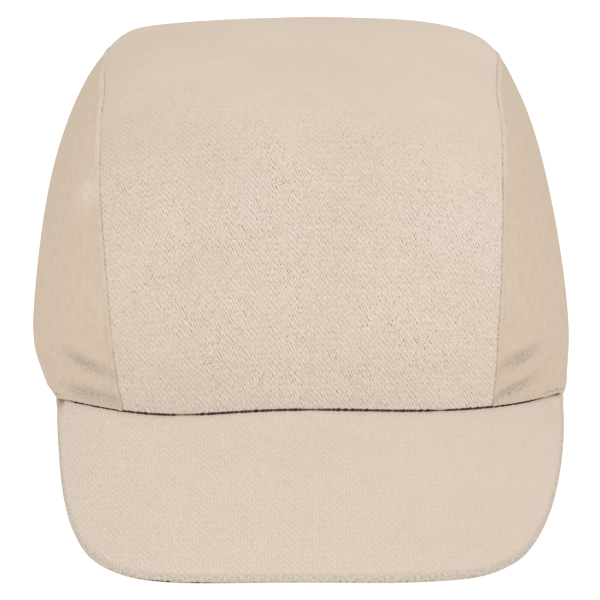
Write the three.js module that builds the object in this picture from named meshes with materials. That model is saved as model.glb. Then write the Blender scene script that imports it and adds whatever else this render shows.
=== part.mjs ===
// Three-panel cotton twill sports cap with a short curved peak, lying flat as it does off the head.
// Millimetres, +Z up, peak towards -Y. Four pieces: a centre panel that runs from the brow over the top
// to the nape, a D-shaped side panel on each side of it, and the peak. The crown is one smooth form, cut
// along the two panel seams. Its hem is flat at the sides and back and rises to the brow over the peak.
import * as THREE from 'three'
import { mergeVertices } from 'three/addons/utils/BufferGeometryUtils.js'

// Crown, measured over the outside of the cloth
const crownHalfWidth = 90
const crownHeight = 120
const crownReach = 100
// How square the crown's profile from front to back is: 2 is an ellipse, more is squarer
const profileSquareness = { front: 2.7, back: 2.44 }
// How square the crown is across: at the hem, and over the top on each side, with its fullness along
const acrossSquareness = { hem: 2.9, left: 5.8, right: 5.4 }
const alongSquareness = { hem: 2.3, top: 2.0 }
const squarenessEase = 1.6
// Share of the width by which each side is pulled in at the hem, and the height at which that ends
const hemPull = { left: 0.11, right: 0.006 }
const hemPullHeight = 33

// Cloth and its turned hem
const clothThickness = 1.3
const hemTurnExtra = 1.2
const hemTurnHeight = 12
const seamGap = 0.3

// Brow: the front of the hem lies in a plane tilted up towards the peak, eased into the flat hem
const browSlope = 0.335
const browStart = -1
const browEase = 26

// Panel seams: half the centre panel's width at the brow, over the top and at the nape
const seamHalfWidth = {
  left: { brow: 56.5, top: 64.6, nape: 46 },
  right: { brow: 60.8, top: 64.6, nape: 46 },
}
const browAngle = THREE.MathUtils.degToRad(18)
const seamBend = 1.7

// Creases that run along the side panels above the brow
const creases = [
  { side: 'left', y: -77, z: 39.5, length: 20, width: 4, rise: 1.0 },
  { side: 'left', y: -78, z: 30.5, length: 20, width: 3.5, rise: -0.8 },
  { side: 'right', y: -73, z: 39.5, length: 20, width: 4, rise: 1.0 },
  { side: 'right', y: -76, z: 30.5, length: 18, width: 3.5, rise: -0.8 },
]

// Peak: a cloth-covered board, whose outline starts at its two tips, up under the hem at the temples
const peakThickness = 3
const peakTipY = -52
const peakTipWidth = 3.5
const peakCentreX = 2.9
const peakHalfWidth = 83
const peakTaper = { left: 0.086, right: 0 }
const peakReach = 105
const peakSquareness = { across: 5, along: { left: 4, right: 1.64 } }
const peakEdgeHeight = 2.1
const peakFrontLift = 2.5
const peakTipLift = 14.4
const peakTipLiftLength = 85
const peakTipLiftBend = 1.25

// How finely each piece is faceted
const stepsAlongSeam = 40
const stepsAcrossCentre = 16
const stepsDownSide = 10
const stepsAlongPeak = 48
const stepsDownPeak = 7
const bisections = 40

const up = new THREE.Vector3(0, 0, 1)
const sideSign = { left: -1, right: 1 }
const sideOf = (x) => (x < 0 ? 'left' : 'right')

// Angle of a point round the crown in side view: 0 at the front hem, a quarter turn on top
const profileAngle = (y, z) => Math.atan2(Math.abs(z), -y)

// Reach of the crown's middle profile at an angle
function profileReach(angle) {
  const power = angle < Math.PI / 2 ? profileSquareness.front : profileSquareness.back
  const level = (Math.abs(Math.cos(angle)) / crownReach) ** power
  const rise = (Math.abs(Math.sin(angle)) / crownHeight) ** power
  return (level + rise) ** (-1 / power)
}

// Exponents of the crown's fullness at an angle, on one side
function squareness(angle, side) {
  const share = Math.abs(Math.sin(angle)) ** squarenessEase
  return {
    across: THREE.MathUtils.lerp(acrossSquareness.hem, acrossSquareness[side], share),
    along: THREE.MathUtils.lerp(alongSquareness.hem, alongSquareness.top, share),
  }
}

// Share of the width that is left at a height, after the pull-in towards the hem
function widthShare(z, side) {
  return 1 - hemPull[side] * Math.max(1 - z / hemPullHeight, 0) ** 2
}

// Point on the crown's outside, from its angle and its share of the half width
function crownPoint(angle, share) {
  const side = sideOf(share)
  const { across, along } = squareness(angle, side)
  const reach = profileReach(angle) * Math.max(1 - Math.abs(share) ** across, 0) ** (1 / along)
  const z = Math.abs(Math.sin(angle)) * reach
  return new THREE.Vector3(crownHalfWidth * share * widthShare(z, side), -Math.cos(angle) * reach, z)
}

// Crown's outside at a place in side view
function crownSidePoint(y, z, side) {
  const angle = profileAngle(y, z)
  const { across, along } = squareness(angle, side)
  const fill = Math.min(Math.hypot(y, z) / profileReach(angle), 1)
  const share = (1 - fill ** along) ** (1 / across)
  return new THREE.Vector3(sideSign[side] * crownHalfWidth * share * widthShare(z, side), y, z)
}

// Below zero inside the crown's form, above zero outside it
function crownField(x, y, z) {
  const side = sideOf(x)
  const angle = profileAngle(y, z)
  const { across, along } = squareness(angle, side)
  const share = Math.abs(x) / (crownHalfWidth * widthShare(z, side))
  return share ** across + (Math.hypot(y, z) / profileReach(angle)) ** along - 1
}

function crownNormal(point) {
  const step = 0.2
  const { x, y, z } = point
  const slopeX = crownField(x + step, y, z) - crownField(x - step, y, z)
  const slopeY = crownField(x, y + step, z) - crownField(x, y - step, z)
  const slopeZ = crownField(x, y, z + step) - crownField(x, y, z - step)
  return new THREE.Vector3(slopeX, slopeY, slopeZ).normalize()
}

// Height of the hem: flat at the sides and back, rising to the brow in front
function hemHeight(y) {
  const ahead = browStart - y
  if (ahead < -browEase) return 0
  if (ahead > browEase) return browSlope * ahead
  return (browSlope * (ahead + browEase) ** 2) / (4 * browEase)
}

// Half width of the centre panel at an angle
function seamWidth(angle, side) {
  const { brow, top, nape } = seamHalfWidth[side]
  const quarter = Math.PI / 2
  const end = angle < quarter ? brow : nape
  const share = angle < quarter ? (quarter - angle) / (quarter - browAngle) : (angle - quarter) / quarter
  return top - (top - end) * Math.min(share, 1) ** seamBend
}

// Angle at which a line on the crown, at a share of the centre panel's width, meets the brow
function browAngleAt(shareAt) {
  let low = 0
  let high = Math.PI / 2
  for (let i = 0; i < bisections; i += 1) {
    const middle = (low + high) / 2
    const point = crownPoint(middle, shareAt(middle))
    if (point.z < hemHeight(point.y)) low = middle
    else high = middle
  }
  return high
}

// Share of the way from brow to nape at a step, with closer steps at both ends
function shareAlong(step) {
  const even = step / stepsAlongSeam
  return even - (0.3 * Math.sin(2 * Math.PI * even)) / (2 * Math.PI)
}

// Share of the half width at which a panel's edge runs, half a gap away from the seam
function seamShare(angle, side, away) {
  return (sideSign[side] * (seamWidth(angle, side) + (away * seamGap) / 2)) / crownHalfWidth
}

// Relief of the creases at a place on a side panel
function creaseRelief(point, side) {
  let relief = 0
  for (const crease of creases.filter((row) => row.side === side)) {
    const alongIt = (point.y - crease.y) / (crease.length / 2)
    const acrossIt = (point.z - crease.z) / crease.width
    relief += crease.rise * Math.exp(-(alongIt ** 2) - acrossIt ** 2)
  }
  return relief
}

// Outside and inside of the cloth at a point on the crown, thicker where the hem is turned up
function wall(point, hemZ, relief) {
  const aboveHem = point.z - hemZ
  const turned = THREE.MathUtils.clamp(1 - aboveHem / hemTurnHeight, 0, 1)
  const thickness = clothThickness + hemTurnExtra * turned
  const normal = crownNormal(point)
  const outside = point.clone().addScaledVector(normal, relief)
  const level = normal.clone().setZ(0).normalize()
  // the hem's own edge is cut level, so that it lies flat
  const inward = aboveHem < 0.01 ? level : normal
  return { outside, inside: outside.clone().addScaledVector(inward, -thickness) }
}

// Closed mesh from rows and columns of wall points: outside, inside and the four edges
function closedSheet(grid, flipped) {
  const positions = []
  const quad = (a, b, c, d) => {
    for (const [p, q, r] of [[a, b, c], [a, c, d]]) {
      const flat = p.distanceTo(q) < 1e-4 || q.distanceTo(r) < 1e-4 || r.distanceTo(p) < 1e-4
      const corners = flipped ? [p, r, q] : [p, q, r]
      if (!flat) corners.forEach((corner) => positions.push(corner.x, corner.y, corner.z))
    }
  }
  const rows = grid.length - 1
  const columns = grid[0].length - 1
  for (let i = 0; i < rows; i += 1) {
    for (let j = 0; j < columns; j += 1) {
      const [a, b, c, d] = [grid[i][j], grid[i][j + 1], grid[i + 1][j + 1], grid[i + 1][j]]
      quad(a.outside, b.outside, c.outside, d.outside)
      quad(d.inside, c.inside, b.inside, a.inside)
    }
  }
  const rim = (a, b) => quad(a.outside, a.inside, b.inside, b.outside)
  for (let j = 0; j < columns; j += 1) {
    rim(grid[0][j], grid[0][j + 1])
    rim(grid[rows][j + 1], grid[rows][j])
  }
  for (let i = 0; i < rows; i += 1) {
    rim(grid[i + 1][0], grid[i][0])
    rim(grid[i][columns], grid[i + 1][columns])
  }
  const geometry = new THREE.BufferGeometry()
  geometry.setAttribute('position', new THREE.Float32BufferAttribute(positions, 3))
  const merged = mergeVertices(geometry, 1e-4)
  merged.computeVertexNormals()
  return merged
}

// Centre panel: steps across between the two seams, and along from the brow to the nape
function centrePanel() {
  const grid = []
  for (let i = 0; i <= stepsAlongSeam; i += 1) {
    const row = []
    for (let j = 0; j <= stepsAcrossCentre; j += 1) {
      const across = (2 * j) / stepsAcrossCentre - 1
      const side = sideOf(across)
      const shareAt = (angle) => Math.abs(across) * seamShare(angle, side, -1)
      const brow = browAngleAt(shareAt)
      const angle = brow + (Math.PI - brow) * shareAlong(i)
      const point = crownPoint(angle, shareAt(angle))
      row.push(wall(point, hemHeight(point.y), 0))
    }
    grid.push(row)
  }
  return closedSheet(grid, false)
}

// Side panel: steps along its seam from the brow to the nape, and down from the seam to the hem
function sidePanel(side) {
  const shareAt = (angle) => seamShare(angle, side, 1)
  const brow = browAngleAt(shareAt)
  const front = crownPoint(brow, shareAt(brow)).y
  const back = crownPoint(Math.PI, shareAt(Math.PI)).y
  const grid = []
  for (let i = 0; i <= stepsAlongSeam; i += 1) {
    const angle = brow + (Math.PI - brow) * shareAlong(i)
    const seam = crownPoint(angle, shareAt(angle))
    const hemY = THREE.MathUtils.lerp(front, back, shareAlong(i))
    const row = []
    for (let j = 0; j <= stepsDownSide; j += 1) {
      const down = 1 - (1 - j / stepsDownSide) ** 1.4
      const y = THREE.MathUtils.lerp(seam.y, hemY, down)
      const z = THREE.MathUtils.lerp(seam.z, hemHeight(hemY), down)
      const point = crownSidePoint(y, z, side)
      const relief = creaseRelief(point, side) * Math.min(4 * down * (1 - down), 1)
      row.push(wall(point, j === stepsDownSide ? z : hemHeight(y), relief))
    }
    grid.push(row)
  }
  return closedSheet(grid, side === 'left')
}

// Point where a line from the middle of the peak's back leaves a form, at a bearing from straight ahead
function onBearing(bearing, field, heightAt) {
  const at = (reach) => {
    const y = peakTipY - reach * Math.cos(bearing)
    return new THREE.Vector3(reach * Math.sin(bearing), y, heightAt(y))
  }
  let low = 0
  let high = 2 * peakReach
  for (let i = 0; i < bisections; i += 1) {
    const middle = (low + high) / 2
    const point = at(middle)
    if (field(point) < 0) low = middle
    else high = middle
  }
  return at(low)
}

// Below zero inside the peak's outline in plan
function outlineField(point) {
  const ahead = Math.max(peakTipY - point.y, 0)
  const side = sideOf(point.x)
  const halfWidth = peakHalfWidth - peakTaper[side] * ahead
  const across = Math.abs((point.x - peakCentreX) / halfWidth) ** peakSquareness.across
  return across + (ahead / peakReach) ** peakSquareness.along[side] - 1
}

// Height of the peak's upper edge: up at the tips, low at the front corners, lifted a little in front
function peakEdgeZ(point) {
  const fromTip = Math.max(1 - (peakTipY - point.y) / peakTipLiftLength, 0)
  const fromMiddle = Math.min(Math.abs(point.x - peakCentreX) / (0.8 * peakHalfWidth), 1)
  const front = peakFrontLift * (1 - fromMiddle ** 2) * (1 - fromTip)
  return peakEdgeHeight + front + peakTipLift * fromTip ** peakTipLiftBend
}

// Where the peak starts on a bearing: at the crown's hem, or at its tips a tip's width inside its outline
function peakStart(bearing) {
  const hem = onBearing(bearing, (point) => crownField(point.x, point.y, point.z), hemHeight)
  const start = onBearing(bearing, outlineField, () => 0)
  start.x -= peakTipWidth * Math.sin(bearing)
  start.y += peakTipWidth * Math.cos(bearing)
  start.z = hemHeight(start.y)
  return Math.hypot(hem.x, hem.y - peakTipY) < Math.hypot(start.x, start.y - peakTipY) ? hem : start
}

// Peak: rulings join points at equal shares of the brow's length and of the outer edge's length
function peak() {
  const bearings = Array.from({ length: 91 }, (_, i) => THREE.MathUtils.degToRad(2 * i - 90))
  const browPoints = bearings.map(peakStart)
  const outerPoints = bearings.map((bearing) => onBearing(bearing, outlineField, () => 0))
  outerPoints.forEach((point) => point.setZ(peakEdgeZ(point)))
  const browLine = new THREE.CatmullRomCurve3(browPoints)
  const outerLine = new THREE.CatmullRomCurve3(outerPoints)
  const top = []
  for (let i = 0; i <= stepsAlongPeak; i += 1) {
    const share = i / stepsAlongPeak
    const { outside, inside } = wall(browLine.getPointAt(share), Infinity, 0)
    const start = outside.clone().addScaledVector(up, -seamGap)
    const margin = inside.clone().addScaledVector(up, -seamGap)
    const end = outerLine.getPointAt(share)
    const row = [margin]
    for (let j = 0; j <= stepsDownPeak; j += 1) row.push(start.clone().lerp(end, j / stepsDownPeak))
    top.push(row)
  }
  return closedSheet(thicken(top, peakThickness), false)
}

// Gives a sheet of upper points its thickness, square to the sheet and never below the surface it lies on
function thicken(top, thickness) {
  const within = (index, list) => THREE.MathUtils.clamp(index, 0, list.length - 1)
  const at = (i, j) => top[within(i, top)][within(j, top[0])]
  return top.map((row, i) =>
    row.map((point, j) => {
      const alongIt = at(i + 1, j).clone().sub(at(i - 1, j))
      const downIt = at(i, j + 1).clone().sub(at(i, j - 1))
      const normal = downIt.cross(alongIt).normalize()
      const inside = point.clone().addScaledVector(normal, -thickness)
      inside.z = Math.max(inside.z, 0)
      return { outside: point, inside }
    }),
  )
}

const centreTwill = new THREE.MeshStandardMaterial({ color: 0xdccdbc, roughness: 0.9, metalness: 0 })
const sideTwill = new THREE.MeshStandardMaterial({ color: 0xd3c2ae, roughness: 0.9, metalness: 0 })
const peakTwill = new THREE.MeshStandardMaterial({ color: 0xdcccbc, roughness: 0.9, metalness: 0 })

const cap = new THREE.Group()
const pieces = [
  ['centre_panel', centrePanel(), centreTwill],
  ['side_panel_left', sidePanel('left'), sideTwill],
  ['side_panel_right', sidePanel('right'), sideTwill],
  ['peak', peak(), peakTwill],
]
for (const [name, geometry, material] of pieces) {
  const mesh = new THREE.Mesh(geometry, material)
  mesh.name = name
  cap.add(mesh)
}

// The origin is the middle of the cap's outer size, on the surface it lies on
const size = new THREE.Box3().setFromObject(cap)
const middle = size.getCenter(new THREE.Vector3())
cap.position.set(-middle.x, -middle.y, -size.min.z)

export default cap
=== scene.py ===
"""A three-panel cotton twill sports cap with a short curved peak, lying on a pale table.

The sections follow the cap as it is sewn: the centre panel, the side panels, the hem's stitches and the peak,
and then the table, the light and the camera. Lengths are in metres, +Z is up and the peak points towards -Y.
"""
import math
from bisect import bisect_left

import bmesh
import bpy
from mathutils import Matrix, Vector, noise


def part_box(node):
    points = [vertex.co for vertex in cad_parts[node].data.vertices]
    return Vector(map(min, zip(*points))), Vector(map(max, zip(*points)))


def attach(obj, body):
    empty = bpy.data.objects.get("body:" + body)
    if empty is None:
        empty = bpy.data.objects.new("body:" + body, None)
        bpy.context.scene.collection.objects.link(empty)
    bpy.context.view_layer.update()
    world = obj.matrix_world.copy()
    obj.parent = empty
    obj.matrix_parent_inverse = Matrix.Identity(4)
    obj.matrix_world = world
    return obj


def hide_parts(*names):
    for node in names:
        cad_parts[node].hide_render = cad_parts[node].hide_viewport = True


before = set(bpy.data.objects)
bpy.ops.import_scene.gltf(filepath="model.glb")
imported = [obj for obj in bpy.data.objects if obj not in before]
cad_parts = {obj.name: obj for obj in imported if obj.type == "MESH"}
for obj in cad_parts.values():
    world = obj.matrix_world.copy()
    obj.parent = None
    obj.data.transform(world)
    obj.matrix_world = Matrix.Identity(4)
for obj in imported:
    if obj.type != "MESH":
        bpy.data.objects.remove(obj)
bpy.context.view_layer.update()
MM = 0.001


# The centre panel is one long piece of coarse cotton twill, cut from the brow over the top to the nape. The
# crown's form is blocked here, because this panel spans the whole of it: the side panels take it up. Its
# edges are turned in at both seams, and its two ends are turned up for the hem.
panel_low, panel_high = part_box("centre_panel")
crown_height = panel_high.z
crown_reach = 100 * MM
crown_half_width = 90 * MM
crown_middle = Vector(((panel_low.x + panel_high.x) / 2, panel_high.y - crown_reach, 0))
profile_squareness = {"front": 2.7, "back": 2.44}
across_squareness = {"hem": 2.9, "left": 5.8, "right": 5.4}
along_squareness = {"hem": 2.3, "top": 2.0}
squareness_ease = 1.6
hem_pull = {"left": 0.135, "right": 0.006}
hem_pull_height = 33 * MM
brow_slope = 0.335
brow_start = -1 * MM
brow_ease = 26 * MM
brow_angle = math.radians(18)
brow_sags = [
    {"x": -42 * MM, "width": 26 * MM, "drop": 2.4 * MM},
    {"x": 48 * MM, "width": 34 * MM, "drop": 1.0 * MM},
]
temple_dips = {
    "left": {"y": -57 * MM, "length": 12 * MM, "drop": 1.0 * MM},
    "right": {"y": -35 * MM, "length": 11 * MM, "drop": 3.2 * MM},
}
seam_half_width = {
    "left": {"brow": 56.5 * MM, "top": 64.6 * MM, "nape": 46 * MM},
    "right": {"brow": 60.8 * MM, "top": 64.6 * MM, "nape": 46 * MM},
}
seam_bend = {"front": 1.7, "back": 2.2}
seam_wander = {
    "left": [(0.17, 0.10, 1.0 * MM), (0.50, 0.12, -0.6 * MM), (1.0, 0.05, 1.1 * MM)],
    "right": [(0.17, 0.10, 1.1 * MM), (1.0, 0.05, 0.8 * MM)],
}
seam_gap = 0.02 * MM
cloth_thickness = 1.2 * MM
hem_thickness = 2.4 * MM
hem_turn_height = 11 * MM
hem_turn_ease = 1 * MM
seam_roll = 0.14 * MM
hem_roll = 0.6 * MM
hem_puff = {"rise": 0.6 * MM, "from": 12 * MM, "full": 2 * MM}
stitch_height = 2.3 * MM
stitch_step = 2.4 * MM
stitches_from = -66 * MM
stitches_level_out = 3 * MM
edge_stitch_height = 0.4 * MM
edge_stitches_from = -80 * MM
beyond_marks = 9.0
side_sign = {"left": -1, "right": 1}
crown_wave = {"rise": 0.25 * MM, "size": 40 * MM, "seed": 1.7}
settled = [
    {"at": (60 * MM, 17 * MM, 112 * MM), "size": 15 * MM, "rise": 2.5 * MM},
    {"at": (-58 * MM, 25 * MM, 114 * MM), "size": 9 * MM, "rise": 1.3 * MM},
    {"at": (-76 * MM, 15 * MM, 98 * MM), "size": 26 * MM, "rise": -1.0 * MM},
    {"at": (82 * MM, 5 * MM, 80 * MM), "size": 36 * MM, "rise": -1.0 * MM},
    {"at": (40 * MM, 20 * MM, 118 * MM), "size": 20 * MM, "rise": -1.0 * MM},
    {"at": (-40 * MM, 44 * MM, 112 * MM), "size": 16 * MM, "rise": -1.3 * MM},
    {"at": (70 * MM, 20 * MM, 104 * MM), "size": 14 * MM, "rise": -0.5 * MM},
    {"at": (87 * MM, -40 * MM, 28 * MM), "size": 22 * MM, "rise": 1.2 * MM},
    {"at": (-87 * MM, -40 * MM, 34 * MM), "size": 18 * MM, "rise": 0.8 * MM},
    {"at": (-82 * MM, -49 * MM, 17 * MM), "size": 9 * MM, "rise": -0.9 * MM},
    {"at": (-86 * MM, -44 * MM, 27 * MM), "size": 8 * MM, "rise": 0.5 * MM},
    {"at": (88 * MM, -37 * MM, 10 * MM), "size": 9 * MM, "rise": -0.7 * MM},
    {"at": (-24 * MM, 44 * MM, 117 * MM), "size": 22 * MM, "rise": -0.35 * MM},
    {"at": (5 * MM, 44 * MM, 119 * MM), "size": 12 * MM, "rise": 0.4 * MM},
]
halvings = 40


def blend(low, high, share):
    """The value at a share of the way from low to high."""
    return low + (high - low) * share


def smooth_share(value, low, high):
    """How far value lies from low to high, eased at both ends."""
    share = min(max((value - low) / (high - low), 0), 1)
    return share * share * (3 - 2 * share)


def share_in(span, value):
    """How far value has come from where a span starts to where it is full."""
    return smooth_share(value, span["from"], span["full"])


def hump(value, middle, width):
    """A smooth hump, one high at its middle."""
    return math.exp(-(((value - middle) / width) ** 2))


def halved(low, high, is_low):
    """The two sides of the place where is_low ends, from low to high, closed in on by halving."""
    for _ in range(halvings):
        middle = (low + high) / 2
        if is_low(middle):
            low = middle
        else:
            high = middle
    return low, high


def side_of(x):
    return "left" if x < 0 else "right"


def profile_reach(angle):
    """Reach of the crown's middle profile, at an angle from the front hem over the top to the nape."""
    power = profile_squareness["front" if angle < math.pi / 2 else "back"]
    level = (abs(math.cos(angle)) / crown_reach) ** power
    rise = (abs(math.sin(angle)) / crown_height) ** power
    return (level + rise) ** (-1 / power)


def squareness(angle, side):
    """How square the crown is across, and how full along, at an angle."""
    share = abs(math.sin(angle)) ** squareness_ease
    across = blend(across_squareness["hem"], across_squareness[side], share)
    return across, blend(along_squareness["hem"], along_squareness["top"], share)


def width_share(z, side):
    """Share of the crown's width that is left at a height, where the hem pulls the sides in."""
    return 1 - hem_pull[side] * max(1 - z / hem_pull_height, 0) ** 2


def crown_point(angle, share):
    """Point on the crown at an angle and at a share of its half width."""
    side = side_of(share)
    across, along = squareness(angle, side)
    reach = profile_reach(angle) * max(1 - abs(share) ** across, 0) ** (1 / along)
    z = abs(math.sin(angle)) * reach
    return Vector((crown_half_width * share * width_share(z, side), -math.cos(angle) * reach, z))


def hem_height(x, y):
    """Height of the hem: flat at the sides and back, rising to the brow, which sags a little in places."""
    ahead = brow_start - y
    if ahead < -brow_ease:
        return 0.0
    temple = temple_dips[side_of(x)]
    dip = temple["drop"] * hump(y, temple["y"], temple["length"])
    if ahead < brow_ease:
        return max(brow_slope * (ahead + brow_ease) ** 2 / (4 * brow_ease) - dip, 0)
    sag = sum(row["drop"] * hump(x, row["x"], row["width"]) for row in brow_sags)
    return brow_slope * ahead - dip - sag * smooth_share(ahead, brow_ease, 2 * brow_ease)


def seam_share(angle, side, away):
    """Share of the half width at which a panel ends, half a gap away from its seam."""
    widths = seam_half_width[side]
    quarter = math.pi / 2
    in_front = angle < quarter
    if in_front:
        end = widths["brow"]
        bend = seam_bend["front"]
        share = min((quarter - angle) / (quarter - brow_angle), 1)
    else:
        end = widths["nape"]
        bend = seam_bend["back"]
        share = (angle - quarter) / quarter
    width = widths["top"] - (widths["top"] - end) * share**bend
    if in_front:
        width -= sum(inward * hump(share, at, spread) for at, spread, inward in seam_wander[side])
    return side_sign[side] * (width + away * seam_gap / 2) / crown_half_width


def brow_angle_at(share_at):
    """Angle at which a line over the crown, at a share of its half width, meets the brow."""

    def is_below(angle):
        point = crown_point(angle, share_at(angle))
        return point.z < hem_height(point.x, point.y)

    return halved(0.0, math.pi / 2, is_below)[1]


def closer_at_ends(share, strength):
    """Spreads even steps so that they lie closer together at both ends."""
    return share - strength * math.sin(2 * math.pi * share) / (2 * math.pi)


def cloth_grid(columns, rows, place):
    """A grid of cloth and its vertices by row. place(across, along) gives each point from its shares."""
    cloth = bmesh.new()
    cloth.loops.layers.uv.new("cut")
    for name in ("turned", "to_seam", "to_brow", "to_stitches", "crease", "wear_and_painted_light"):
        cloth.verts.layers.float.new(name)
    bmesh.ops.create_grid(cloth, x_segments=columns, y_segments=rows, size=0.5)
    table = [[None] * (columns + 1) for _ in range(rows + 1)]
    for vertex in cloth.verts:
        column = round((vertex.co.x + 0.5) * columns)
        row = round((vertex.co.y + 0.5) * rows)
        table[row][column] = vertex
    for row, vertices in enumerate(table):
        for column, vertex in enumerate(vertices):
            vertex.co = place(column / columns, row / rows)
    cloth.normal_update()
    return cloth, table


def lengths_between(points):
    """Distance of each point from the first, along a line of them."""
    total = [0.0]
    for before, after in zip(points, points[1:]):
        total.append(total[-1] + (after - before).length)
    return total


def lengths_along(vertices):
    """Distance of each vertex from the first, along a line of them."""
    return lengths_between([vertex.co for vertex in vertices])


def segment_at(total, length):
    """Number of the segment that holds a length along a line, and the share of it that lies before."""
    at = bisect_left(total, length, 1, len(total) - 1) - 1
    return at, (length - total[at]) / (total[at + 1] - total[at])


def edge_distances(table):
    """For each vertex, its distance from the first and last column and from the first and last row."""
    across = [lengths_along(row) for row in table]
    along = [lengths_along(column) for column in zip(*table)]
    for i, row in enumerate(table):
        for j, vertex in enumerate(row):
            sides = (across[i][j], across[i][-1] - across[i][j])
            ends = (along[j][i], along[j][-1] - along[j][i])
            yield vertex, sides, ends


def turned_in(distance, roll):
    """How far cloth sinks at a distance from an edge that is turned in round a small roll."""
    if distance >= roll:
        return 0.0
    return roll - math.sqrt(roll**2 - (roll - distance) ** 2)


def soft_wave(point, wave):
    """A gentle unevenness of the cloth, in and out."""
    seed = wave["seed"]
    return wave["rise"] * noise.noise(point / wave["size"] + Vector((seed, seed * 0.7, -seed)))


def ripple_at(point, to_seam, ripple):
    """A low ripple of the cloth beside its seams."""
    return soft_wave(point, ripple) * share_in(ripple, to_seam)


def settling(point):
    """How far the blocked crown stands out at a point, where it has settled out of its true form."""
    rise = 0.0
    for row in settled:
        away = (point - Vector(row["at"])).length
        rise += row["rise"] * hump(away, 0, row["size"])
    return rise + soft_wave(point, crown_wave)


def write_cut(cloth, cut_at):
    """Writes each vertex's place in the flat cut, in millimetres, to the map that the weave reads."""
    cut_map = cloth.loops.layers.uv["cut"]
    for face in cloth.faces:
        for loop in face.loops:
            loop[cut_map].uv = cut_at[loop.vert]


def write_edges(cloth, vertex, to_seam, to_hem, to_brow):
    """Writes a vertex's distances from edges and stitches, in millimetres, and its share of thickness."""
    layers = cloth.verts.layers.float
    levelled = smooth_share(vertex.co.y, stitches_from - stitches_level_out, stitches_from)
    row_height = blend(edge_stitch_height, stitch_height, levelled)
    to_row = abs(to_hem - row_height) / MM
    vertex[layers["to_seam"]] = to_seam / MM
    vertex[layers["to_brow"]] = to_brow / MM
    vertex[layers["to_stitches"]] = to_row if vertex.co.y > edge_stitches_from else beyond_marks
    single = smooth_share(to_hem, hem_turn_height - hem_turn_ease, hem_turn_height)
    vertex[layers["turned"]] = blend(1, cloth_thickness / hem_thickness, single)


def move_cloth(moves):
    """Moves each vertex by its own vector, and lifts the hem where its thickness would reach the table."""
    for vertex, move in moves.items():
        vertex.co += move
        vertex.co.z = max(vertex.co.z, hem_thickness * max(vertex.normal.z, 0))


def new_object(name, data):
    """A new object in the scene, from its data."""
    made = bpy.data.objects.new(name, data)
    bpy.context.scene.collection.objects.link(made)
    return made


def smooth_piece(name, form, material):
    """Makes a smooth object of a finished form."""
    mesh = bpy.data.meshes.new(name)
    form.to_mesh(mesh)
    form.free()
    for polygon in mesh.polygons:
        polygon.use_smooth = True
    mesh.materials.append(material)
    return new_object(name, mesh)


def finish_cloth(name, cloth, material, node):
    """Makes a shaped body of cloth a piece of the cap."""
    for vertex in cloth.verts:
        vertex.co += crown_middle
    piece = smooth_piece(name, cloth, material)
    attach(piece, "root")
    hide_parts(node)
    return piece


def give_wall(piece):
    """Gives a sheet of cloth its thickness inwards, twice as much where the hem is turned up."""
    faces_at = [0] * len(piece.data.edges)
    for loop in piece.data.loops:
        faces_at[loop.edge_index] += 1
    for edge, count in zip(piece.data.edges, faces_at):
        edge.use_edge_sharp = count == 1
    group = piece.vertex_groups.new(name="turned")
    for index, value in enumerate(piece.data.attributes["turned"].data):
        group.add([index], value.value, "REPLACE")
    wall = piece.modifiers.new("wall", "SOLIDIFY")
    wall.thickness = hem_thickness
    wall.offset = -1
    wall.vertex_group = "turned"


def feed(tree, socket, value):
    """Links a value to an input, or writes it there."""
    if isinstance(value, bpy.types.NodeSocket):
        tree.links.new(value, socket)
    elif isinstance(value, tuple):
        socket.default_value = (*value, 1)
    else:
        socket.default_value = value


def wire(tree, node, values):
    """Feeds values to a node's inputs, by name or by number."""
    for key, value in values.items():
        feed(tree, node.inputs[key], value)


def maths(tree, operation, *values, clamp=False):
    """A Math node's output, from values or other outputs."""
    node = tree.nodes.new("ShaderNodeMath")
    node.operation = operation
    node.use_clamp = clamp
    wire(tree, node, dict(enumerate(values)))
    return node.outputs[0]


def times(tree, *values, clamp=False):
    return maths(tree, "MULTIPLY", *values, clamp=clamp)


def between(tree, value, low, high, clamp=False):
    """Stretches a value from 0 to 1 so that it runs from low to high."""
    return maths(tree, "MULTIPLY_ADD", value, high - low, low, clamp=clamp)


def flat_vector(tree, x, y):
    node = tree.nodes.new("ShaderNodeCombineXYZ")
    wire(tree, node, {0: x, 1: y})
    return node.outputs[0]


def x_and_y(tree, vector):
    node = tree.nodes.new("ShaderNodeSeparateXYZ")
    wire(tree, node, {0: vector})
    return node.outputs["X"], node.outputs["Y"]


def cloud(tree, vector, scale, detail=2.0):
    """Soft noise around a half, over a flat cut."""
    node = tree.nodes.new("ShaderNodeTexNoise")
    node.noise_dimensions = "2D"
    wire(tree, node, {"Vector": vector, "Scale": scale, "Detail": detail})
    return node.outputs["Fac"]


def chance(tree, x, y):
    """A random value from 0 to 1 for each whole x and y."""
    node = tree.nodes.new("ShaderNodeTexWhiteNoise")
    node.noise_dimensions = "2D"
    wire(tree, node, {"Vector": flat_vector(tree, x, y)})
    return node.outputs["Value"]


def mixed(tree, share, first, second):
    """A colour between two, at a share."""
    node = tree.nodes.new("ShaderNodeMix")
    node.data_type = "RGBA"
    inputs = [socket for socket in node.inputs if socket.enabled]
    for socket, value in zip(inputs, (share, first, second)):
        feed(tree, socket, value)
    return next(socket for socket in node.outputs if socket.enabled)


def shifted(tree, colour, amount, paler, darker):
    """A colour moved towards a paler one by an amount above zero, and towards a darker one by one below."""
    colour = mixed(tree, maths(tree, "MAXIMUM", amount, 0.0), colour, paler)
    return mixed(tree, maths(tree, "MAXIMUM", times(tree, amount, -1.0), 0.0), colour, darker)


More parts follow.
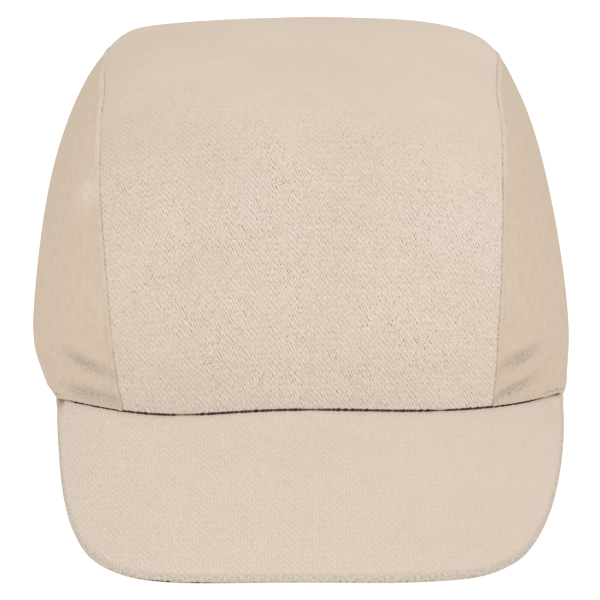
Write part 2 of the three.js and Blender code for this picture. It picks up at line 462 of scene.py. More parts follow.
def effect(name, inputs, outputs):
    """An empty shader node group with named inputs and outputs."""
    tree = bpy.data.node_groups.new(name, "ShaderNodeTree")
    for socket_name, default in inputs.items():
        kind = "NodeSocketVector" if default is None else "NodeSocketFloat"
        socket = tree.interface.new_socket(socket_name, in_out="INPUT", socket_type=kind)
        if default is not None:
            socket.default_value = default
    for socket_name in outputs:
        tree.interface.new_socket(socket_name, in_out="OUTPUT", socket_type="NodeSocketFloat")
    return tree, tree.nodes.new("NodeGroupInput").outputs, tree.nodes.new("NodeGroupOutput")


threads_in_repeat = 4
rib_turn = math.tau / threads_in_repeat
rib_rise = 0.26
step_rise = 0.13
pick_rise = 0.05
thread_rise = 0.25


def make_twill():
    """Three-over-one twill on a cut in millimetres: floats of the warp, tints, sunken picks and slubs."""
    tree, given, result = effect(
        "twill weave",
        {"Place": None, "Warp Pitch": 0.233, "Pick Pitch": 0.52, "Pinholes": 1.0, "Cords": 0.0},
        ("Float", "Tint", "Pinhole", "Slub", "Height"),
    )
    place = given["Place"]
    x, y = x_and_y(tree, place)

    # The threads wander a little, and each place belongs to one thread of the warp and one pick.
    drift = between(tree, cloud(tree, place, 0.04), -0.6, 0.6)
    quiver = between(tree, cloud(tree, place, 0.7), -0.3, 0.3)
    x = maths(tree, "ADD", x, maths(tree, "ADD", drift, quiver))
    warp = maths(tree, "DIVIDE", x, given["Warp Pitch"])
    pick = maths(tree, "DIVIDE", y, given["Pick Pitch"])
    warp_row = maths(tree, "FLOOR", warp)
    pick_row = maths(tree, "FLOOR", pick)
    over = maths(tree, "DIVIDE", maths(tree, "ADD", warp_row, pick_row), threads_in_repeat)
    float_row = maths(tree, "FLOOR", over)
    under = maths(tree, "LESS_THAN", maths(tree, "FRACT", over), 0.2)

    # The ribs, their steps, the cords and the picks are waves over the threads, made uneven by wear.
    turn = times(tree, maths(tree, "ADD", warp, pick), rib_turn)
    ribs = maths(tree, "COSINE", maths(tree, "SUBTRACT", turn, 3 * rib_turn))
    steep = times(tree, maths(tree, "MULTIPLY_ADD", pick, 2.0, warp), rib_turn / 2)
    steps = maths(tree, "COSINE", maths(tree, "SUBTRACT", steep, math.pi))
    cords = maths(tree, "COSINE", times(tree, warp, rib_turn))
    picks = maths(tree, "COSINE", maths(tree, "MULTIPLY_ADD", pick, rib_turn, rib_turn))
    relief = maths(tree, "MULTIPLY_ADD", steps, step_rise, times(tree, ribs, rib_rise))
    relief = maths(tree, "MULTIPLY_ADD", picks, pick_rise, relief)
    relief = maths(tree, "MULTIPLY_ADD", cords, given["Cords"], relief)
    each = chance(tree, warp_row, float_row)
    relief = times(tree, relief, between(tree, each, 0.75, 1.25))
    clear = between(tree, cloud(tree, place, 0.3, 3.0), -0.95, 2.05, clamp=True)
    woven = maths(tree, "MULTIPLY_ADD", relief, between(tree, clear, 0.45, 1.05), 0.5)
    fuzz = between(tree, cloud(tree, place, 1.7, 3.0), -0.13, 0.13)
    speck = chance(tree, maths(tree, "ADD", warp_row, 0.5), times(tree, pick_row, 0.5))
    grain = between(tree, chance(tree, maths(tree, "ADD", warp_row, 0.7), pick_row), -0.25, 0.25)
    floats = maths(tree, "ADD", maths(tree, "ADD", woven, grain), fuzz, clamp=True)
    hues = between(tree, cloud(tree, place, 0.5), -0.6, 1.0)
    tint = maths(tree, "MULTIPLY_ADD", speck, 0.6, hues, clamp=True)

    # Here and there a pick sinks between the floats and leaves a pinhole, which the material paints dark as
    # shade.
    patches = between(tree, cloud(tree, place, 0.06), -0.75, 1.85, clamp=True)
    sunken = maths(tree, "POWER", chance(tree, maths(tree, "ADD", warp_row, 0.3), pick_row), 7.0)
    sunken = times(tree, sunken, between(tree, patches, 0.2, 1.0))
    pinhole = times(tree, times(tree, under, sunken), given["Pinholes"], clamp=True)

    # Thick and thin threads run both ways as slubs.
    level = flat_vector(tree, maths(tree, "DIVIDE", x, 8.0), maths(tree, "DIVIDE", y, 0.5))
    upright = flat_vector(tree, maths(tree, "DIVIDE", x, 0.45), maths(tree, "DIVIDE", y, 6.0))
    thick_threads = times(tree, cloud(tree, upright, 1.0), 0.5)
    slub = maths(tree, "MULTIPLY_ADD", cloud(tree, level, 1.0), 0.5, thick_threads)
    round_thread = maths(tree, "SINE", times(tree, maths(tree, "FRACT", warp), math.pi))
    height = maths(tree, "MULTIPLY_ADD", round_thread, thread_rise, floats)
    height = maths(tree, "SUBTRACT", maths(tree, "MULTIPLY_ADD", slub, 0.5, height), pinhole)
    outputs = {"Float": floats, "Tint": tint, "Pinhole": pinhole, "Slub": slub, "Height": height}
    wire(tree, result, outputs)
    return tree


hole_reach = 0.3
hole_half_length = 0.24
groove_reach = 0.14
groove_shade = 0.45


def make_seam_holes():
    """Painted shade in needle holes and in a faint groove along a seam, from the distance to it and the place
    along it.
    """
    tree, given, result = effect("seam holes", {"Place": None, "Distance": 5.0, "Pitch": 1.3}, ("Mask",))
    _, y = x_and_y(tree, given["Place"])
    along = maths(tree, "DIVIDE", y, given["Pitch"])
    along = maths(tree, "MULTIPLY_ADD", cloud(tree, given["Place"], 0.3), 1.2, along)
    stitch = maths(tree, "FLOOR", along)
    depth = between(tree, chance(tree, stitch, 3.0), -0.6, 1.2, clamp=True)
    middle = maths(tree, "ABSOLUTE", maths(tree, "SUBTRACT", maths(tree, "FRACT", along), 0.5))
    round_hole = maths(tree, "LESS_THAN", middle, hole_half_length)
    near = maths(tree, "LESS_THAN", given["Distance"], hole_reach)
    hole = times(tree, times(tree, round_hole, depth), near)
    tight = between(tree, cloud(tree, flat_vector(tree, 0.0, y), 0.08, 3.0), -1.3, 2.1, clamp=True)
    closer = maths(tree, "LESS_THAN", given["Distance"], groove_reach)
    groove = times(tree, closer, times(tree, tight, groove_shade))
    wire(tree, result, {"Mask": maths(tree, "MAXIMUM", hole, groove)})
    return tree


shadow_edge = 0.15


def make_seam_shadow():
    """A painted shadow: the dark, ragged line in a tight seam, from the distance to it and the place along
    it.
    """
    tree, given, result = effect("seam shadow", {"Place": None, "Distance": 5.0, "Reach": 0.5}, ("Mask",))
    x, _ = x_and_y(tree, given["Place"])
    line = flat_vector(tree, x, 0.0)
    ragged = between(tree, cloud(tree, line, 0.9, 3.0), -0.2, 2.2)
    broken = between(tree, cloud(tree, line, 0.1), -1.4, 3.6, clamp=True)
    reach = times(tree, given["Reach"], times(tree, ragged, broken))
    mask = maths(tree, "DIVIDE", maths(tree, "SUBTRACT", reach, given["Distance"]), shadow_edge, clamp=True)
    wire(tree, result, {"Mask": mask})
    return tree


twill = make_twill()
seam_holes = make_seam_holes()
seam_shadow = make_seam_shadow()
seam_shadow_colour = (0.035, 0.028, 0.022)
hole_shade_colour = (0.20, 0.145, 0.10)
crease_shade_colour = (0.30, 0.26, 0.215)
wear_and_painted_light_colour = (0.68, 0.59, 0.50)
twill_roughness = 0.95
twill_gloss = 0.05
smooth_crispness = 0.12
weave_depth = 0.12 * MM


def in_group(tree, group, values):
    """A group's outputs, once its inputs are wired."""
    node = tree.nodes.new("ShaderNodeGroup")
    node.node_tree = group
    wire(tree, node, values)
    return node.outputs


def attribute(tree, name):
    node = tree.nodes.new("ShaderNodeAttribute")
    node.attribute_name = name
    return node.outputs["Fac"]


def new_material(name, roughness, gloss):
    """A new material, its node tree and its shader."""
    material = bpy.data.materials.new(name)
    material.use_nodes = True
    shader = material.node_tree.nodes["Principled BSDF"]
    wire(material.node_tree, shader, {"Roughness": roughness, "Specular IOR Level": gloss})
    return material, material.node_tree, shader


def weave_crispness(tree, x, y, cloth):
    """How clearly the weave shows at a place in the cut: it fades upwards and to the left."""
    smoother = tree.nodes.new("ShaderNodeMapRange")
    smoother.interpolation_type = "SMOOTHSTEP"
    fade_start, fade_end = cloth["smooth_from"]
    leaning = maths(tree, "MULTIPLY_ADD", x, cloth["smooth_lean"], y)
    fade = {"Value": leaning, "From Min": fade_start, "From Max": fade_end, "To Min": 1.0}
    wire(tree, smoother, {**fade, "To Max": smooth_crispness})
    in_middle = 1 - cloth["softer_left_of"] * cloth["softening"]
    softer = maths(tree, "MULTIPLY_ADD", x, cloth["softening"], in_middle, clamp=True)
    return times(tree, smoother.outputs["Result"], softer)


def twill_material(name, cloth):
    """Matt cotton twill: floats and gaps, uneven threads, painted shade in pinholes, creases and seams, and
    painted light.
    """
    material, tree, shader = new_material(name, twill_roughness, twill_gloss)
    cut = tree.nodes.new("ShaderNodeUVMap")
    cut.uv_map = "cut"
    place = cut.outputs["UV"]
    x, y = x_and_y(tree, place)
    weave = in_group(tree, twill, {"Place": place, **cloth["weave"]})
    crisp = weave_crispness(tree, x, y, cloth)

    thread, gap = cloth["thread"], cloth["gap"]
    colour = mixed(tree, weave["Float"], gap, thread)
    colour = mixed(tree, times(tree, crisp, cloth["contrast"]), cloth["smooth"], colour)
    tinted = mixed(tree, weave["Tint"], cloth["tints"][0], cloth["tints"][1])
    colour = mixed(tree, between(tree, crisp, 0.1, 0.3), colour, tinted)
    slub = times(tree, maths(tree, "SUBTRACT", weave["Slub"], 0.5), cloth["slubs"])
    colour = shifted(tree, colour, slub, thread, gap)
    tone = between(tree, cloud(tree, place, 0.028, 3.0), -0.15, 0.15)
    tone = maths(tree, "MULTIPLY_ADD", x, cloth["paler_right"], tone)
    colour = shifted(tree, colour, tone, thread, gap)
    # Painted shade in the weave's pinholes.
    holes = times(tree, times(tree, weave["Pinhole"], crisp), cloth["pinhole_shade"])
    colour = mixed(tree, holes, colour, hole_shade_colour)

    spots = cloud(tree, place, cloth["blotch_scale"], 3.0)
    blotch = between(tree, spots, -cloth["blotches"] / 2, cloth["blotches"] / 2)
    colour = shifted(tree, colour, blotch, thread, gap)
    # Painted light and wear: a paler colour on the side panels' seam ridges and a patch, and on the peak
    # beside the brow and at its tips.
    wear_and_painted_light = between(tree, cloud(tree, place, 0.5, 3.0), -0.2, 1.6, clamp=True)
    wear_and_painted_light = times(tree, attribute(tree, "wear_and_painted_light"), wear_and_painted_light)
    colour = mixed(tree, wear_and_painted_light, colour, wear_and_painted_light_colour)
    # Painted shade: the creases, and the peak's rim where it rolls under, are darkened in mottled grey-brown.
    mottled_shade = between(tree, cloud(tree, place, 1.1, 3.0), -1.6, 2.4, clamp=True)
    crease = times(tree, attribute(tree, "crease"), between(tree, mottled_shade, 0.25, 0.95))
    colour = mixed(tree, crease, colour, crease_shade_colour)

    # Painted shade in the needle holes and groove of the panel seams.
    seam_row = {"Place": place, "Distance": attribute(tree, "to_seam")}
    needle = times(tree, in_group(tree, seam_holes, seam_row)["Mask"], cloth["seam_holes"])
    colour = mixed(tree, needle, colour, hole_shade_colour)
    # Painted shade in the needle holes between the hem's stitches.
    turned = flat_vector(tree, y, x)
    hem_row = {"Place": turned, "Distance": attribute(tree, "to_stitches"), "Pitch": stitch_step / MM}
    colour = mixed(tree, in_group(tree, seam_holes, hem_row)["Mask"], colour, hole_shade_colour)
    # Painted shadow: a black, ragged line along the brow seam, and on the peak also along part of its rim.
    brow = {"Place": place, "Distance": attribute(tree, "to_brow"), "Reach": cloth["brow_shadow_reach"]}
    colour = mixed(tree, in_group(tree, seam_shadow, brow)["Mask"], colour, seam_shadow_colour)
    wire(tree, shader, {"Base Color": colour})

    bump = tree.nodes.new("ShaderNodeBump")
    height = times(tree, weave["Height"], crisp)
    wire(tree, bump, {"Strength": cloth["relief"], "Distance": weave_depth, "Height": height})
    wire(tree, shader, {"Normal": bump.outputs["Normal"]})
    return material


centre_cloth = {
    "weave": {"Warp Pitch": 0.2275, "Pick Pitch": 0.50, "Pinholes": 1.3},
    "thread": (0.765, 0.665, 0.575), "gap": (0.395, 0.315, 0.245), "smooth": (0.613, 0.511, 0.425),
    "tints": ((0.63, 0.52, 0.45), (0.585, 0.545, 0.44)), "contrast": 1.0, "slubs": 0.25, "pinhole_shade": 1.0,
    "relief": 0.3, "smooth_from": (60.0, 124.0), "smooth_lean": 0.15, "blotches": 0.15, "blotch_scale": 0.16,
    "softer_left_of": -18.0, "softening": 0.005, "paler_right": 0.0014, "seam_holes": 0.8, "brow_shadow_reach": 0.55,
}
centre_twill = twill_material("beige twill", centre_cloth)
centre_columns = 120
centre_rows = 300
closer_across = 0.75
closer_along = 0.6
weave_follows_width = 0.05
centre_ripple = {"rise": 0.1 * MM, "size": 9 * MM, "seed": 3.1, "from": 10 * MM, "full": 1 * MM}


def centre_place():
    """Gives the centre panel's point at shares across and along it."""
    brow_angles = {}

    def place(across, along):
        spread = 2 * closer_at_ends(across, closer_across) - 1
        side = side_of(spread)

        def share_at(angle):
            return abs(spread) * seam_share(angle, side, -1)

        if across not in brow_angles:
            brow_angles[across] = brow_angle_at(share_at)
        angle = blend(brow_angles[across], math.pi, closer_at_ends(along, closer_along))
        return crown_point(angle, share_at(angle))

    return place


def stitch_line(columns):
    """Points of the hem's row of stitches, on columns of the cloth that run up from the hem's edge."""
    points = []
    for column in columns:
        total = lengths_along(column)
        if total[-1] < 2 * stitch_height:
            continue
        below, share = segment_at(total, stitch_height)
        point = column[below].co.lerp(column[below + 1].co, share)
        if point.y > stitches_from:
            points.append(point)
    return points


stitch_lines = []
centre, centre_table = cloth_grid(centre_columns, centre_rows, centre_place())
middle_line = lengths_along([row[centre_columns // 2] for row in centre_table])
centre_width = max(lengths_along(row)[-1] for row in centre_table)
centre_area = sum(face.calc_area() for face in centre.faces)
cut_at = {}
for i, row in enumerate(centre_table):
    from_left = lengths_along(row)
    for j, vertex in enumerate(row):
        arc = from_left[j] - from_left[-1] / 2
        cut_at[vertex] = (blend(vertex.co.x, arc, weave_follows_width) / MM, middle_line[i] / MM)
write_cut(centre, cut_at)
moves = {}
for vertex, sides, ends in edge_distances(centre_table):
    to_seam, to_hem = min(sides), min(ends)
    sink = max(turned_in(to_seam, seam_roll), turned_in(to_hem, hem_roll))
    puff = hem_puff["rise"] * share_in(hem_puff, ends[0])
    ripple = ripple_at(vertex.co, to_seam, centre_ripple)
    moves[vertex] = vertex.normal * (puff + ripple + settling(vertex.co) - sink)
    write_edges(centre, vertex, to_seam, to_hem, ends[0])
move_cloth(moves)
stitch_lines.append(stitch_line([column[::-1] for column in zip(*centre_table)]))
centre_panel = finish_cloth("cap_centre_panel", centre, centre_twill, "centre_panel")
give_wall(centre_panel)


# The side panels are D-shaped pieces of a finer, slightly darker twill. The seam allowance of both panels is
# pressed to their side, so that a low ridge follows each seam, and they crease softly above the brow. Shade
# is painted into the creases, and a highlight mixed with wear onto the ridges near the top.
crease_table = [
    {
        "side": "left", "y": -79 * MM, "z": 39.3 * MM, "fall": 0,
        "length": 17 * MM, "width": 2 * MM, "rise": -1.1 * MM,
    },
    {
        "side": "left", "y": -81 * MM, "z": 29.5 * MM, "fall": 0.2,
        "length": 22 * MM, "width": 2 * MM, "rise": -0.9 * MM,
    },
    {
        "side": "right", "y": -76 * MM, "z": 40 * MM, "fall": 0,
        "length": 16 * MM, "width": 2.2 * MM, "rise": -1.1 * MM,
    },
    {
        "side": "right", "y": -80 * MM, "z": 30.5 * MM, "fall": 0,
        "length": 19 * MM, "width": 1.7 * MM, "rise": -0.9 * MM,
    },
]
crease_lip = {"at": 1.8, "share": 0.35}
crease_shade = {"at": -0.2, "strength": 0.8}
creases_off_seam = {"from": 1 * MM, "full": 4 * MM}
allowance_width = 2.2 * MM
allowance_rise = 0.3 * MM
allowance_ease = {"outside": 0.6 * MM, "inside": 0.4 * MM, "seam": 0.7 * MM}
wear_and_highlight_strip = {"outside": 0.2 * MM, "inside": 0.6 * MM, "from": 84 * MM, "full": 104 * MM, "strength": 0.5}
pale_patch = {"y": -61 * MM, "z": 90 * MM, "size": 4.5 * MM, "strength": 0.75}
puffed_hem = {"from": 4 * MM, "full": 14 * MM}
brow_line_hem = {"from": 15 * MM, "full": 23 * MM}
corner_wall = {"from": -1 * MM, "full": 4 * MM}
side_ripple = {"rise": 0.12 * MM, "size": 9 * MM, "seed": 5.3, "from": 12 * MM, "full": 2 * MM}
side_columns = 200
side_rows = 110
closer_down = 0.7
side_slope = 0.3
side_radius = 95 * MM
weave_follows_hem = 0.3
corner_columns = 2
merge_distance = 0.01 * MM
side_cloth = {
    "weave": {"Warp Pitch": 0.2, "Pick Pitch": 0.42, "Pinholes": 0.15},
    "thread": (0.636, 0.526, 0.421), "gap": (0.48, 0.38, 0.29), "smooth": (0.561, 0.456, 0.356),
    "tints": ((0.586, 0.456, 0.366), (0.541, 0.476, 0.356)), "contrast": 0.5, "slubs": 0.3, "pinhole_shade": 0.5,
    "relief": 0.2, "smooth_from": (90.0, 140.0), "smooth_lean": 0.0, "blotches": 1.1, "blotch_scale": 0.35,
    "softer_left_of": 0.0, "softening": 0.0, "paler_right": 0.0, "seam_holes": 0.4, "brow_shadow_reach": 0.45,
}
side_twill = twill_material("tan twill", side_cloth)


def side_point(y, z, side):
    """Point on a side panel at a place in side view."""
    angle = math.atan2(abs(z), -y)
    across, along = squareness(angle, side)
    fill = min(math.hypot(y, z) / profile_reach(angle), 1)
    share = (1 - fill**along) ** (1 / across)
    return Vector((side_sign[side] * crown_half_width * share * width_share(z, side), y, z))


def side_place(side):
    """Gives a side panel's point at shares along its seam and down from the seam to the hem."""

    def share_at(angle):
        return seam_share(angle, side, 1)

    brow = brow_angle_at(share_at)
    front = crown_point(brow, share_at(brow)).y
    back = crown_point(math.pi, share_at(math.pi)).y

    def place(along, down):
        along = closer_at_ends(along, closer_along)
        down = closer_at_ends(down, closer_down)
        angle = blend(brow, math.pi, along)
        seam = crown_point(angle, share_at(angle))
        hem_y = blend(front, back, along)
        hem_x = side_point(hem_y, side_slope * abs(hem_y), side).x
        return side_point(blend(seam.y, hem_y, down), blend(seam.z, hem_height(hem_x, hem_y), down), side)

    return place


def crease_depth(point, side):
    """How far the side panel sinks into its creases at a point, and how much shade is painted into them."""
    relief, shade = 0.0, 0.0
    for crease in crease_table:
        if crease["side"] == side:
            behind = point.y - crease["y"]
            across = (point.z - crease["z"] + crease["fall"] * behind) / crease["width"]
            fold = hump(behind, 0, crease["length"] / 2)
            furrow = hump(across, 0, 1) - crease_lip["share"] * hump(across, crease_lip["at"], 1)
            relief += crease["rise"] * fold * furrow
            shade += fold * hump(across, crease_shade["at"], 1)
    return relief, shade


def wear_and_highlight_at(point, to_seam, side):
    """How much a side panel is painted paler: a painted highlight with wear on the seam's ridge near the top,
    and a patch on the left.
    """
    outside = allowance_width + wear_and_highlight_strip["outside"]
    strip = smooth_share(to_seam, outside, allowance_width - wear_and_highlight_strip["inside"])
    strip *= share_in(wear_and_highlight_strip, point.z)
    from_patch = math.hypot(point.y - pale_patch["y"], point.z - pale_patch["z"])
    patch = hump(from_patch, 0, pale_patch["size"]) if side == "left" else 0.0
    return max(wear_and_highlight_strip["strength"] * strip, pale_patch["strength"] * patch)


def allowance_ridge(to_seam):
    """Rise of the low ridge that the pressed seam allowance makes."""
    outside = allowance_width + allowance_ease["outside"]
    ridge = allowance_rise * smooth_share(to_seam, outside, allowance_width - allowance_ease["inside"])
    return ridge * smooth_share(to_seam, 0, allowance_ease["seam"])


for side in ("left", "right"):
    cloth, table = cloth_grid(side_columns, side_rows, side_place(side))
    if side == "right":
        bmesh.ops.reverse_faces(cloth, faces=cloth.faces)
        cloth.normal_update()
    up_from_hem = [[total[-1] - length for length in total] for total in map(lengths_along, zip(*table))]
    cut_at = {}
    for i, row in enumerate(table):
        for j, vertex in enumerate(row):
            turn = math.atan2(abs(vertex.co.x), -vertex.co.y)
            rise = blend(vertex.co.z, up_from_hem[j][i], weave_follows_hem)
            cut_at[vertex] = (turn * side_radius / MM, rise / MM)
    write_cut(cloth, cut_at)
    moves = {}
    layers = cloth.verts.layers.float
    for vertex, ends, sides in edge_distances(table):
        to_seam, to_hem = sides
        hem = hem_height(vertex.co.x, vertex.co.y)
        tight = share_in(brow_line_hem, hem)
        sink = max(turned_in(to_seam, seam_roll), turned_in(to_hem, hem_roll))
        puff = hem_puff["rise"] * share_in(hem_puff, to_hem) * share_in(puffed_hem, hem)
        ripple = ripple_at(vertex.co, to_seam, side_ripple)
        relief, shade = crease_depth(vertex.co, side)
        relief *= share_in(creases_off_seam, to_seam)
        rise = allowance_ridge(to_seam) + puff + ripple + settling(vertex.co) + relief
        moves[vertex] = vertex.normal * (rise - sink)
        vertex[layers["wear_and_painted_light"]] = wear_and_highlight_at(vertex.co, to_seam, side)
        vertex[layers["crease"]] = min(crease_shade["strength"] * shade, 1.0)
        write_edges(cloth, vertex, to_seam, to_hem, to_hem + MM * (1 - tight))
        vertex[layers["turned"]] *= share_in(corner_wall, ends[1])
    side_length = lengths_along(table[-1])[-1]
    side_height = max(lengths_along(column)[-1] for column in zip(*table))
    side_area = sum(face.calc_area() for face in cloth.faces)
    move_cloth(moves)
    up_columns = [column[::-1] for column in zip(*table)]
    stitch_lines.append(stitch_line(up_columns[corner_columns:-corner_columns]))
    bmesh.ops.remove_doubles(cloth, verts=cloth.verts, dist=merge_distance)
    panel = finish_cloth(f"cap_side_panel_{side}", cloth, side_twill, f"side_panel_{side}")
    give_wall(panel)


# The hem is held by one row of lockstitch in tan thread, close above its edge, round the sides and the back.
# Each stitch is a short length of thread that dives into the cloth at both ends.
stitch_length = 1.9 * MM
stitch_radius = 0.2 * MM
stitch_size = Matrix.Diagonal((stitch_length / 2, stitch_radius, stitch_radius, 1))
thread_dark = (0.42, 0.33, 0.24)
thread_pale = (0.62, 0.51, 0.40)
thread_roughness = 0.8
thread_gloss = 0.1
fibre_scale = 2500.0


def thread_material():
    """Matt sewing thread, a little darker than the cloth, with soft changes of tone."""
    material, tree, shader = new_material("tan thread", thread_roughness, thread_gloss)
    where = tree.nodes.new("ShaderNodeTexCoord")
    fibre = tree.nodes.new("ShaderNodeTexNoise")
    wire(tree, fibre, {"Vector": where.outputs["Object"], "Scale": fibre_scale, "Detail": 2.0})
    wire(tree, shader, {"Base Color": mixed(tree, fibre.outputs["Fac"], thread_dark, thread_pale)})
    return material


stitches = bmesh.new()
for points in stitch_lines:
    total = lengths_between(points)
    for step in range(int(total[-1] / stitch_step)):
        at, share = segment_at(total, (step + 0.5) * stitch_step)
        along = (points[at + 1] - points[at]).normalized()
        turn = along.to_track_quat("X", "Z").to_matrix().to_4x4()
        spot = Matrix.Translation(points[at].lerp(points[at + 1], share) + crown_middle)
        lying = spot @ turn @ stitch_size
        bmesh.ops.create_uvsphere(stitches, u_segments=8, v_segments=6, radius=1, matrix=lying)
hem_stitches = smooth_piece("cap_hem_stitches", stitches, thread_material())
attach(hem_stitches, "root")


# The peak is a stiff board wrapped in the beige twill, bent gently across. It is sewn under the crown's
# brow, and the cloth of its upper side is turned round the outer edge and under.
peak_thickness = 3 * MM
peak_tip_y = -52 * MM
peak_tip_width = 3.5 * MM
peak_centre_x = 2.9 * MM
peak_half_width = 83 * MM
peak_taper = {"left": 0.086, "right": 0.0}
peak_tip_tuck = {"left": 0.6 * MM, "right": 0.3 * MM}
peak_tuck_length = 14 * MM
peak_reach = 105.1 * MM
peak_squareness = {"across": 5, "left": 4, "right": 1.71}
peak_edge_height = 2.1 * MM
peak_front_lift = 2.0 * MM
peak_front_share = 0.8
peak_corner_lift = {"x": 43 * MM, "width": 13 * MM, "rise": 0.5 * MM}
peak_tip_lift = 14.4 * MM
peak_tip_lift_length = 85 * MM
peak_tip_lift_bend = 1.25
peak_rest_height = 0.05 * MM
peak_columns = 190
margin_rows = 3
margin_width = 2.6 * MM
upper_rows = 70
rim_rows = 12
under_rows = 40
steepest_rim = math.radians(30)
rim_shadow = {"x": -36 * MM, "width": 8 * MM, "clear": 0.25 * MM, "reach": 0.3 * MM}
rim_roll_shade = {"from": 3.8 * MM, "full": 1.2 * MM, "strength": 0.55}
tip_painted_light = {"from": peak_tip_y - 14 * MM, "full": peak_tip_y - 2 * MM}
brow_painted_light = {"from": 16 * MM, "full": -2 * MM, "strength": 0.6}
peak_cloth = {
    "weave": {"Warp Pitch": 0.2575, "Pick Pitch": 0.55, "Pinholes": 0.5, "Cords": 0.15},
    "thread": (0.725, 0.625, 0.535), "gap": (0.48, 0.39, 0.315), "smooth": (0.605, 0.505, 0.425),
    "tints": ((0.64, 0.525, 0.45), (0.585, 0.545, 0.445)), "contrast": 0.8, "slubs": 0.2, "pinhole_shade": 0.6,
    "relief": 0.2, "smooth_from": (-150.0, 400.0), "smooth_lean": 3.0, "blotches": 0.2, "blotch_scale": 0.16,
    "softer_left_of": 0.0, "softening": 0.0, "paler_right": 0.0, "seam_holes": 0.0, "brow_shadow_reach": 0.35,
}
peak_twill = twill_material("peak twill", peak_cloth)


def in_crown(x, y):
    """Below zero where the hem's line lies inside the crown."""
    z = hem_height(x, y)
    side = side_of(x)
    angle = math.atan2(z, -y)
    across, along = squareness(angle, side)
    share = abs(x) / (crown_half_width * width_share(z, side))
    return share**across + (math.hypot(y, z) / profile_reach(angle)) ** along - 1


def in_outline(x, y):
    """Below zero inside the peak's outline in plan."""
    side = side_of(x)
    ahead = max(peak_tip_y - y, 0)
    half_width = peak_half_width - peak_taper[side] * ahead
    half_width -= peak_tip_tuck[side] * smooth_share(ahead, peak_tuck_length, 0)
    across = (abs(x - peak_centre_x) / half_width) ** peak_squareness["across"]
    return across + (ahead / peak_reach) ** peak_squareness[side] - 1


def on_bearing(bearing, field, height_at):
    """Point where a line from the middle of the peak's back leaves a form, at a bearing from ahead."""

    def place_at(reach):
        return reach * math.sin(bearing), peak_tip_y - reach * math.cos(bearing)

    def is_inside(reach):
        return field(*place_at(reach)) < 0

    x, y = place_at(halved(0.0, 2 * peak_reach, is_inside)[0])
    return Vector((x, y, height_at(x, y)))


def peak_edge_z(x, y):
    """Height of the peak's upper edge: up at the tips, low at the corners, lifted a little in front."""
    from_tip = max(1 - (peak_tip_y - y) / peak_tip_lift_length, 0)
    from_middle = min(abs(x - peak_centre_x) / (peak_front_share * peak_half_width), 1)
    corner = peak_corner_lift["rise"] * hump(x, peak_corner_lift["x"], peak_corner_lift["width"])
    front = (peak_front_lift * (1 - from_middle**2) + corner) * (1 - from_tip)
    return peak_edge_height + front + peak_tip_lift * from_tip**peak_tip_lift_bend


def evenly(points, count):
    """Points at equal distances along a line of them."""
    total = lengths_between(points)
    even = []
    for step in range(count + 1):
        at, share = segment_at(total, total[-1] * step / count)
        even.append(points[at].lerp(points[at + 1], min(share, 1)))
    return even


def brow_start_on(bearing):
    """Where the board starts on a bearing: at the brow, or at its tips a tip's width inside its outline."""
    brow = on_bearing(bearing, in_crown, hem_height)
    edge = on_bearing(bearing, in_outline, peak_edge_z)
    inset = edge - peak_tip_width * Vector((math.sin(bearing), -math.cos(bearing), 0))
    inset.z = hem_height(inset.x, inset.y)
    return brow if (brow - peak_middle).xy.length < (inset - peak_middle).xy.length else inset


peak_middle = Vector((0, peak_tip_y, 0))
under_brow = Vector((0, 0, 0.3 * MM))
rim_radius = peak_thickness / 2
bearings = [math.radians(half_degree / 2 - 90) for half_degree in range(361)]
brow_line = evenly([brow_start_on(turn) - under_brow for turn in bearings], peak_columns)
edge_line = evenly([on_bearing(turn, in_outline, peak_edge_z) for turn in bearings], peak_columns)
first_rim_row = margin_rows + upper_rows
wrap_rows = first_rim_row + rim_rows + under_rows


def peak_frame(column):
    """A ruling's start at the brow, its end at the rim, and the ways out over the rim and up from it."""
    start, end = brow_line[column], edge_line[column]
    before, after = edge_line[max(column - 1, 0)], edge_line[min(column + 1, peak_columns)]
    along = (after - before).normalized()
    level = Vector((along.y, -along.x, 0)).normalized()
    above = along.cross(end - start)
    if above.z < 0:
        above = -above
    tilt = min(max(math.atan2(above.dot(level), above.z), 0), steepest_rim)
    out = math.cos(tilt) * level - Vector((0, 0, math.sin(tilt)))
    up = math.sin(tilt) * level + Vector((0, 0, math.cos(tilt)))
    return start, end, out, up


def peak_place(along, around):
    """Point on the peak's cloth at shares along it and around it, from the brow over the rim and under."""
    start, end, out, up = peak_frame(round(along * peak_columns))
    row = round(around * wrap_rows)
    rim = end - out * rim_radius
    if row <= margin_rows:
        inward = (peak_middle - start).xy.normalized().to_3d()
        point = start + (1 - row / margin_rows) * margin_width * inward
    elif row <= first_rim_row:
        point = start.lerp(rim, closer_at_ends((row - margin_rows) / upper_rows, closer_along))
    elif row <= first_rim_row + rim_rows:
        turn = math.pi * (row - first_rim_row) / rim_rows
        point = rim + rim_radius * (math.sin(turn) * out + (math.cos(turn) - 1) * up)
    else:
        point = rim.lerp(start, (row - first_rim_row - rim_rows) / under_rows) - peak_thickness * up
    point.z = max(point.z, peak_rest_height)
    return point


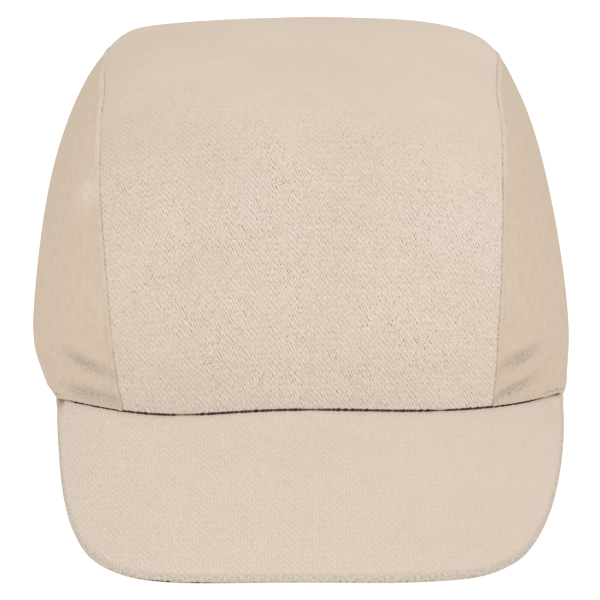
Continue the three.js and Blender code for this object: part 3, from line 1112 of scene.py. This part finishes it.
board, board_table = cloth_grid(peak_columns, wrap_rows, peak_place)
bmesh.ops.reverse_faces(board, faces=board.faces)
board.normal_update()
from_brow = [[length - margin_width for length in lengths_along(column)] for column in zip(*board_table)]
rim_middle = first_rim_row + rim_rows // 2
cut_at = {}
layers = board.verts.layers.float
for i, row in enumerate(board_table):
    for j, vertex in enumerate(row):
        x, y = vertex.co.xy
        cut_at[vertex] = (x / MM, -from_brow[j][i] / MM)
        to_line = abs(from_brow[j][i])
        to_rim = abs(from_brow[j][i] - from_brow[j][rim_middle])
        loose = smooth_share(brow_line[j].z, brow_line_hem["full"], brow_line_hem["from"])
        reach = rim_shadow["reach"] * hump(x, rim_shadow["x"], rim_shadow["width"])
        # Painted light: the peak is lightened beside the brow, where the crown shades it, and at its tips
        # under the crown's overhang.
        lit = brow_painted_light["strength"] * share_in(brow_painted_light, to_line) * (1 - abs(x) / crown_half_width)
        vertex[layers["to_seam"]] = beyond_marks
        vertex[layers["to_stitches"]] = beyond_marks
        # Painted shadow: to_brow carries the distance both to the brow line and to a dark line under the rim,
        # widest near rim_shadow's x.
        vertex[layers["to_brow"]] = min(to_line + MM * loose, to_rim + rim_shadow["clear"] - reach) / MM
        vertex[layers["wear_and_painted_light"]] = max(lit, share_in(tip_painted_light, y))
        # Painted shade along the rim, darkest where the cloth rolls under the edge.
        vertex[layers["crease"]] = rim_roll_shade["strength"] * share_in(rim_roll_shade, to_rim)
write_cut(board, cut_at)
open_edges = [edge for edge in board.edges if edge.is_boundary]
bmesh.ops.contextual_create(board, geom=open_edges)
finish_cloth("cap_peak", board, peak_twill, "peak")


# The table is a plain white surface, lit from below as well, and well larger than the cap. It only carries
# the cap in the picture and is no part of it.
table_half_size = 6
table_look = {"Base Color": (0.3, 0.3, 0.3), "Emission Color": (1, 1, 1), "Emission Strength": 0.85}
table_paint, paint_tree, paint = new_material("white table", roughness=0.7, gloss=0.2)
wire(paint_tree, paint, table_look)
top = bmesh.new()
bmesh.ops.create_grid(top, x_segments=1, y_segments=1, size=table_half_size)
table_top = smooth_piece("table", top, table_paint)


# The light is soft and even, as in a studio: a white surround on all sides, and one wide lamp above and
# behind the camera that gives the crown its form.
surround = bpy.data.worlds.new("studio")
surround.use_nodes = True
wire(surround.node_tree, surround.node_tree.nodes["Background"], {"Color": (1, 1, 1), "Strength": 1.0})
bpy.context.scene.world = surround
lamp_place = Vector((0.13, -1.3, 1.5))
lamp_aim = Vector((0, 0, 0.05))
lamp_data = bpy.data.lights.new("soft lamp", "AREA")
lamp_data.shape = "RECTANGLE"
lamp_data.size = 1.6
lamp_data.size_y = 1.2
lamp_data.energy = 9
lamp = new_object("soft lamp", lamp_data)
lamp.location = lamp_place
lamp.rotation_euler = (lamp_aim - lamp_place).to_track_quat("-Z", "Y").to_euler()
bpy.context.scene.view_settings.view_transform = "Standard"
bpy.context.scene.view_settings.look = "None"


# The camera stands where the photograph was taken from: straight in front of the peak, 22 degrees above the
# horizon and 1.1 m from the crown.
camera_elevation = math.radians(22)
camera_distance = 1.1
picture_pixels = 600
scale_pixels = 3273.8
crown_centre_pixel = Vector((301, 237.6))
crown_centre = crown_middle + Vector((0.16 * MM, 0, 50 * MM))
backward = Vector((0, -math.cos(camera_elevation), math.sin(camera_elevation)))
upward = Vector((0, math.sin(camera_elevation), math.cos(camera_elevation)))
metres_per_pixel = camera_distance / scale_pixels
aside = (crown_centre_pixel.x - picture_pixels / 2) * metres_per_pixel
above = (picture_pixels / 2 - crown_centre_pixel.y) * metres_per_pixel
aim = crown_centre - Vector((aside, 0, 0)) - upward * above
camera_data = bpy.data.cameras.new("camera")
camera_data.sensor_width = 36
camera_data.lens = camera_data.sensor_width * scale_pixels / picture_pixels
camera = new_object("camera", camera_data)
camera.location = crown_centre + backward * camera_distance
camera.rotation_euler = (aim - camera.location).to_track_quat("-Z", "Y").to_euler()
bpy.context.scene.camera = camera
